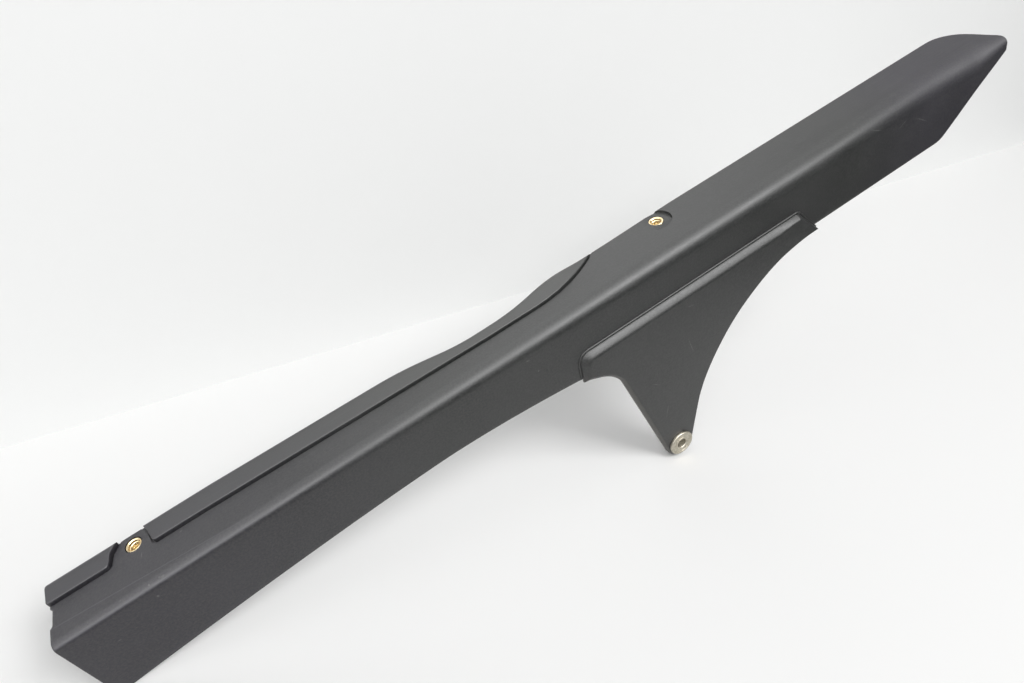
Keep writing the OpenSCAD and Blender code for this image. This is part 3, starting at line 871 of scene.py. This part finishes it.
PICTURE_W, PICTURE_H, FOCAL_PX, SENSOR_MM = 1024, 683, 728.3727, 36
CAMERA_TURN = Vector((2.15351959, -0.748295707, -0.0331270023))
CAMERA_MOVE = np.array([-135.01008, 92.2782612, 317.946643])
CAMERA_ZERO = np.array([68.9, 0, 0])  # the point of the drawing that the camera's place is given from
TURN = np.array(Matrix.Rotation(CAMERA_TURN.length, 3, CAMERA_TURN.normalized()))
EYE = -TURN.T @ CAMERA_MOVE + CAMERA_ZERO


def ray(px, py):
    """Direction from the camera through a point of the picture."""
    return TURN.T @ np.array([(px - PICTURE_W / 2) / FOCAL_PX, (py - PICTURE_H / 2) / FOCAL_PX, 1.0])


def camera():
    cam = linked("camera", bpy.data.cameras.new("camera"))
    cam.data.sensor_width, cam.data.lens = SENSOR_MM, FOCAL_PX * SENSOR_MM / PICTURE_W
    cam.data.clip_start, cam.data.clip_end = 0.01, 20
    m = Matrix.Identity(4)
    for col, axis in enumerate((TURN[0], -TURN[1], -TURN[2])):
        for row in range(3):
            m[row][col] = axis[row]
    for row in range(3):
        m[row][3] = to_row(EYE)[row]
    cam.matrix_world = m
    bpy.context.scene.camera = cam


camera()
# The guard stands on its front corner and the arm's tip; the floor is level across the picture.
on_a, on_b = np.array([4, 0, -45.2]), np.array([311.5, 1, -148.3])
up = np.cross(on_b - on_a, ray(PICTURE_W / 2 + 1000, PICTURE_H / 2) - ray(PICTURE_W / 2, PICTURE_H / 2))
up *= np.sign(up[2]) / np.linalg.norm(up)


def on_floor(px, py):
    """Where the camera's ray through a picture point meets the floor."""
    d = ray(px, py)
    return EYE + d * ((on_a - EYE) @ up) / (d @ up)


def sheet(name, corners, colours):
    """A plain pale sheet, clear from behind so that it never hides the guard from below."""
    m, t, shader = finish(name + "_paint", colours[0], 0.0, 0.9)
    shader.inputs["Specular IOR Level"].default_value = 0.0
    t.link(t.colour(t.noise(t.object_xyz(), 3, 3), *colours), shader.inputs["Base Color"])
    clear, mix, back = (t.nodes.new(kind) for kind in
                        ("ShaderNodeBsdfTransparent", "ShaderNodeMixShader", "ShaderNodeNewGeometry"))
    t.link(back.outputs["Backfacing"], mix.inputs[0])
    t.link(shader.outputs[0], mix.inputs[1])
    t.link(clear.outputs[0], mix.inputs[2])
    t.link(mix.outputs[0], t.nodes["Material Output"].inputs["Surface"])
    me = bpy.data.meshes.new(name)
    me.from_pydata(to_row(corners).tolist(), [], [(0, 1, 2, 3)])
    me.materials.append(m)
    linked(name, me)


def stage_set():
    """A floor, and a wall that stands where the floor ends."""
    a, b = on_floor(0, 449), on_floor(PICTURE_W, 143)
    span = float(np.linalg.norm(b - a))
    along = (b - a) / span
    near = np.cross(along, up)
    near *= np.sign(near @ (EYE - a))
    a, b, c = a - along * 500, a + along * (span + 70), a + along * 400
    floor, wall = ((0.885, 0.885, 0.88), (0.905, 0.905, 0.90)), ((0.86, 0.865, 0.86), (0.88, 0.885, 0.88))
    for name, other, far, out, colours in (("floor", near * 500, c + near * 500, up, floor),
                                           ("wall", up * 265, b + up * 265, near, wall)):
        corners = [a, b, far, a + other]
        sheet(name, corners if np.cross(b - a, other) @ out > 0 else corners[::-1], colours)


stage_set()


def lamp(name, direction, distance, size, power):
    """A soft panel that looks at the guard's middle."""
    d = Vector(direction).normalized()
    data = bpy.data.lights.new(name, "AREA")
    data.shape, data.size, data.size_y, data.energy = "RECTANGLE", *size, power
    ob = linked(name, data)
    ob.location = Vector((0, 0, 0.12)) + d * distance
    ob.rotation_mode = "QUATERNION"
    ob.rotation_quaternion = d.to_track_quat("Z", "Y")
    ob.visible_camera = False


def room():
    """An even soft room; what shines in it is a pale ceiling and a bright panel, and the backdrop is white."""
    world = bpy.data.worlds.new("studio")
    bpy.context.scene.world = world
    world.use_nodes = True
    t = Nodes(world.node_tree)
    way = t.nodes.new("ShaderNodeTexCoord").outputs["Generated"]
    seen = t.nodes.new("ShaderNodeLightPath").outputs
    ceiling = t.spread(t.facing(way, (-0.3, 0.3, 0.9)), 0.25, 0.66, 0.1, 2.8)
    panel = t.spread(t.facing(way, (0.3, -0.65, 0.70)), 0.84, 0.97, 0, 4.8)
    shine = t.times(t.add(ceiling, panel), seen["Is Glossy Ray"])
    even = t.spread(seen["Is Glossy Ray"], 0, 1, 0.47, 0)
    white = t.times(seen["Is Camera Ray"], 0.98)
    background = t.nodes["Background"]
    background.inputs["Color"].default_value = (1, 1, 1, 1)
    t.link(t.maths("MAXIMUM", t.add(shine, even), white), background.inputs["Strength"])


lamp("key_softbox", (0.45, -0.61, 0.66), 1.9, (0.9, 0.7), 20)
lamp("fill_softbox", (-0.38, -0.62, 0.70), 1.9, (0.8, 0.7), 9)
room()

bpy.context.scene.view_settings.view_transform = "Standard"
